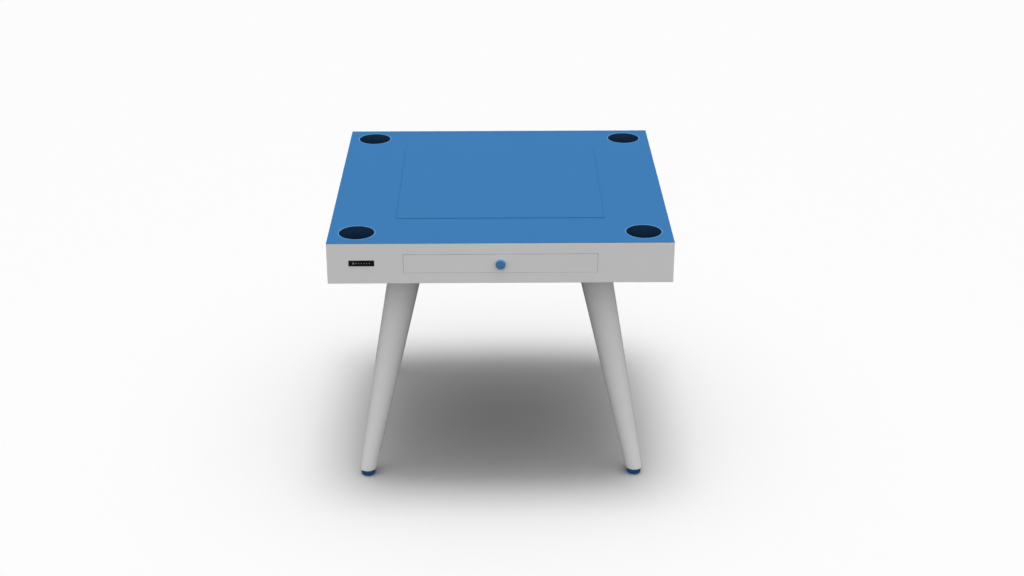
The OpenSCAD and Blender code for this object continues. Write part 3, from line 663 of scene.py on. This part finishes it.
def make_light(floor):
    """Two soft lights overhead, and one on each side that is flagged off the floor, so that only the
    light from above draws the shadow. They stand under a dome whose strength is dome z^4, where z
    is the sine of the height above the horizon; the camera sees a plain backdrop in its place."""
    dome, backdrop = 1.30, 1.05
    side_spread, side_height = 90, 10
    flagged = bpy.data.collections.new("flagged_floor")
    flagged.objects.link(floor)
    for shaded in flagged.collection_objects:
        shaded.light_linking.link_state = "EXCLUDE"
    add_softbox("overhead_lamp", 0.27, 20, 0, 90)
    add_softbox("overhead_softbox", 0.16, 34, 0, 90)
    for side, strength, azimuth in (("front", 0.53, 0), ("rear", 0.12, 180), ("left", 0.32, -90),
                                    ("right", 0.32, 90)):
        add_softbox(side + "_softbox", strength, side_spread, azimuth, side_height, flagged)
    world = bpy.data.worlds.new("studio_room")
    world.use_nodes = True
    bpy.context.scene.world = world
    world.node_tree.nodes.clear()
    way = add(world, "ShaderNodeTexCoord", out="Generated")
    up = add(world, "ShaderNodeSeparateXYZ", {"Vector": way}, out="Z")
    above = add(world, "ShaderNodeMath", {0: up, 1: 0.0}, operation="MAXIMUM")
    fourth = add(world, "ShaderNodeMath", {0: above, 1: 4.0}, operation="POWER")
    level = add(world, "ShaderNodeMath", {0: fourth, 1: dome}, operation="MULTIPLY")
    room = add(world, "ShaderNodeBackground", {"Color": (1.0, 1.0, 1.0, 1.0), "Strength": level})
    plain = add(world, "ShaderNodeBackground", {"Color": (1.0, 1.0, 1.0, 1.0), "Strength": backdrop})
    seen = add(world, "ShaderNodeLightPath", out="Is Camera Ray")
    both = add(world, "ShaderNodeMixShader", {0: seen, 1: room, 2: plain})
    add(world, "ShaderNodeOutputWorld", {"Surface": both})
    bpy.context.scene.view_settings.view_transform = "Standard"


def make_camera():
    """A long lens in front of the table, a little left of its middle, looking down on the top."""
    lens = bpy.data.cameras.new("camera")
    lens.sensor_width = 36
    lens.lens = 58.32
    lens.clip_end = 200
    camera = bpy.data.objects.new("camera", lens)
    leftwards, forwards, upwards = 0.0132, 4.4717, 1.6637
    camera.location = (CASE[0] - leftwards, CASE[1] - forwards, TOP_Z + upwards)
    down, yaw, roll = 24.064, 0.630, 0.028
    camera.rotation_euler = (math.radians(90 - down), math.radians(roll), math.radians(-yaw))
    bpy.context.scene.collection.objects.link(camera)
    bpy.context.scene.camera = camera


# ---- The table ----

make_camera()
make_light(make_stage())

paint = white_lacquer()
laminate = blue_laminate()
across_ply = birch_plywood("Z", "X")
side_ply = birch_plywood("X", "Y")
end_ply = birch_plywood("Y", "X")
steel = rolled_metal("zinc_plated_steel", "#A9ADB3", "#C6CACF", 0.32)
brass = rolled_metal("turned_brass", "#B08D4A", "#C9A760", 0.30, along="Z")
bright = rolled_metal("etched_aluminium", "#C9CBCE", "#DEE0E2", 0.35, along="X")
coat = powder_coat()
knob_blue = blue_satin("blue_satin_knob", "#4C84BA", "#538CC3")
# The feet are the knob's blue satin painted darker: painted shade for the shadow they stand in
foot_painted_shade_blue = blue_satin("blue_satin_feet_painted_shade", "#285C90", "#2F669C")
cup_blue = moulded_cup()

for side in ("front", "back", "left", "right"):
    finish_node("apron_" + side, paint, 0.6)
for node in ("drawer_front", "bottom_panel"):
    finish_node(node, paint, 0.8)
finish_node("well_walls", paint, 0.5)
for node in ("top_surface", "lid_surface"):
    finish_node(node, laminate, 0.25)
for node in ("deck_front", "deck_back", "deck_left", "deck_right", "well_floor", "drawer_bottom",
             "corner_blocks"):
    finish_node(node, across_ply)
finish_node("lid_board", birch_plywood("Z", "X", edge_band="#3D7AB2"))
for node in ("divider_left", "divider_right", "drawer_side_left", "drawer_side_right"):
    finish_node(node, side_ply, 0.8)
for node in ("drawer_box_front", "drawer_back"):
    finish_node(node, end_ply, 0.8)
for side in ("left", "right"):
    for member in ("outer", "middle", "inner"):
        finish_node(f"slide_{member}_{side}", steel, 0.25)
for node in ("slide_case_screws", "slide_drawer_screws", "knob_screw", "drawer_screws",
             "plate_screws", "leg_bolts"):
    finish_node(node, steel)
for node in ("leg_inserts", "foot_inserts"):
    finish_node(node, brass)
finish_node("leg_plates", coat, 0.5)
finish_node("nameplate", anodised_plate(), 0.35)
finish_node("nameplate_marks", bright, 0.08)

for name, (side_x, side_y) in CORNERS.items():
    make_leg(name, side_x, side_y, paint)
    make_cup(name, cup_blue)
    make_foot_pad(name, foot_painted_shade_blue)
    finish_node("foot_stem_" + name, steel)
make_knob(knob_blue)
make_cushions(moulded_rubber())
make_felt("well_felt_printed", "well_felt", "table",
          green_felt("green_wool_felt_printed", printed=True))
make_felt("drawer_felt", "drawer_liner", "drawer",
          green_felt("green_wool_felt"))
